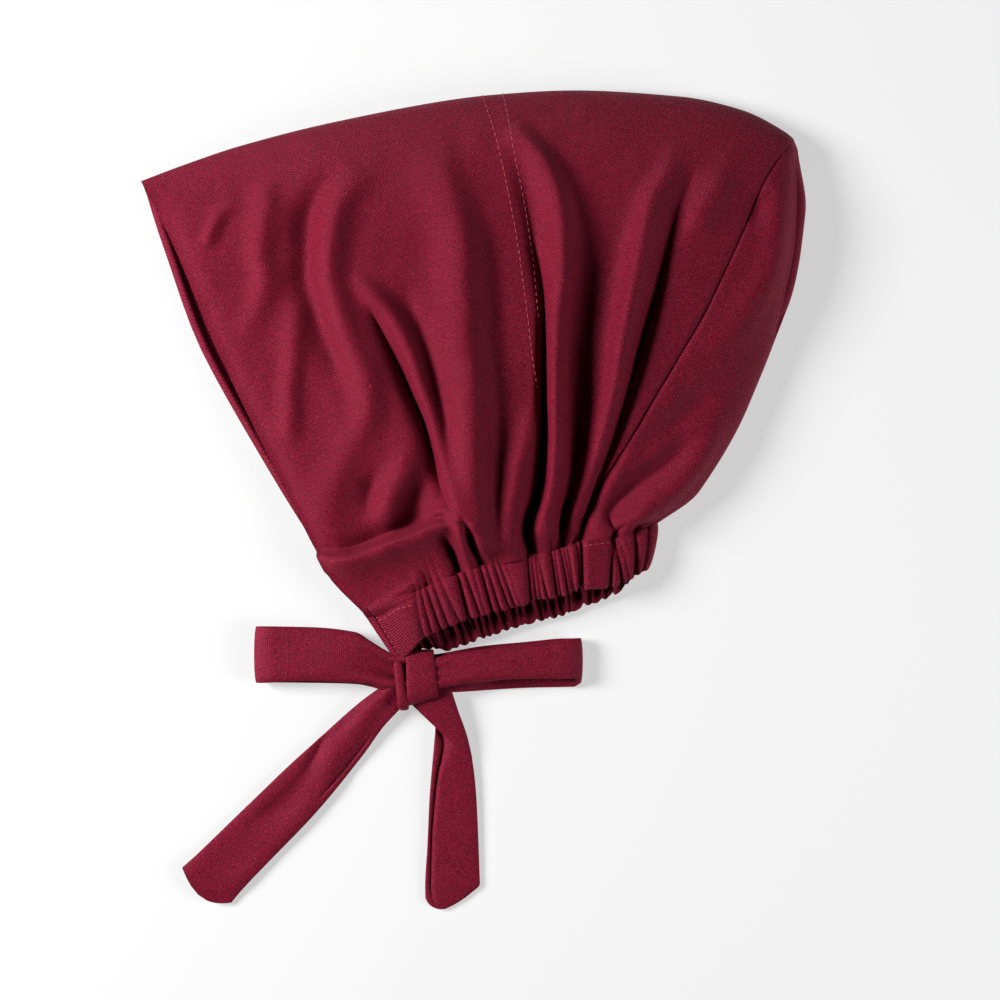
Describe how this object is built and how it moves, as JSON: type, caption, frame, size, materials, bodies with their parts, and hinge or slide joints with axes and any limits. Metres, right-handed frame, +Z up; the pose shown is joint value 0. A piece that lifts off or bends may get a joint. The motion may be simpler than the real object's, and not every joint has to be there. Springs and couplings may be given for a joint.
{
  "type": "hijab underscarf cap",
  "caption": "Jersey tie-back underscarf cap laid flat on its side: open face edge, panelled crown, gathered elastic neck casing and a bow.",
  "frame": {"origin": "middle of the footprint, on the surface that the cap lies on", "axes": "+Z up from the surface, +Y from the tails to the crown, +X from the face edge to the back of the crown"},
  "size_m": [0.2994, 0.3704, 0.033],
  "materials": {
    "jersey": "matte wine-red cotton jersey knit"
  },
  "bodies": {
    "root": {"front_panel": "jersey", "crown_panel": "jersey", "back_panel": "jersey", "neck_casing": "jersey", "tie_knot": "jersey", "bow_loop_front": "jersey", "bow_loop_back": "jersey", "tie_tail_front": "jersey", "tie_tail_back": "jersey"}
  },
  "joints": []
}
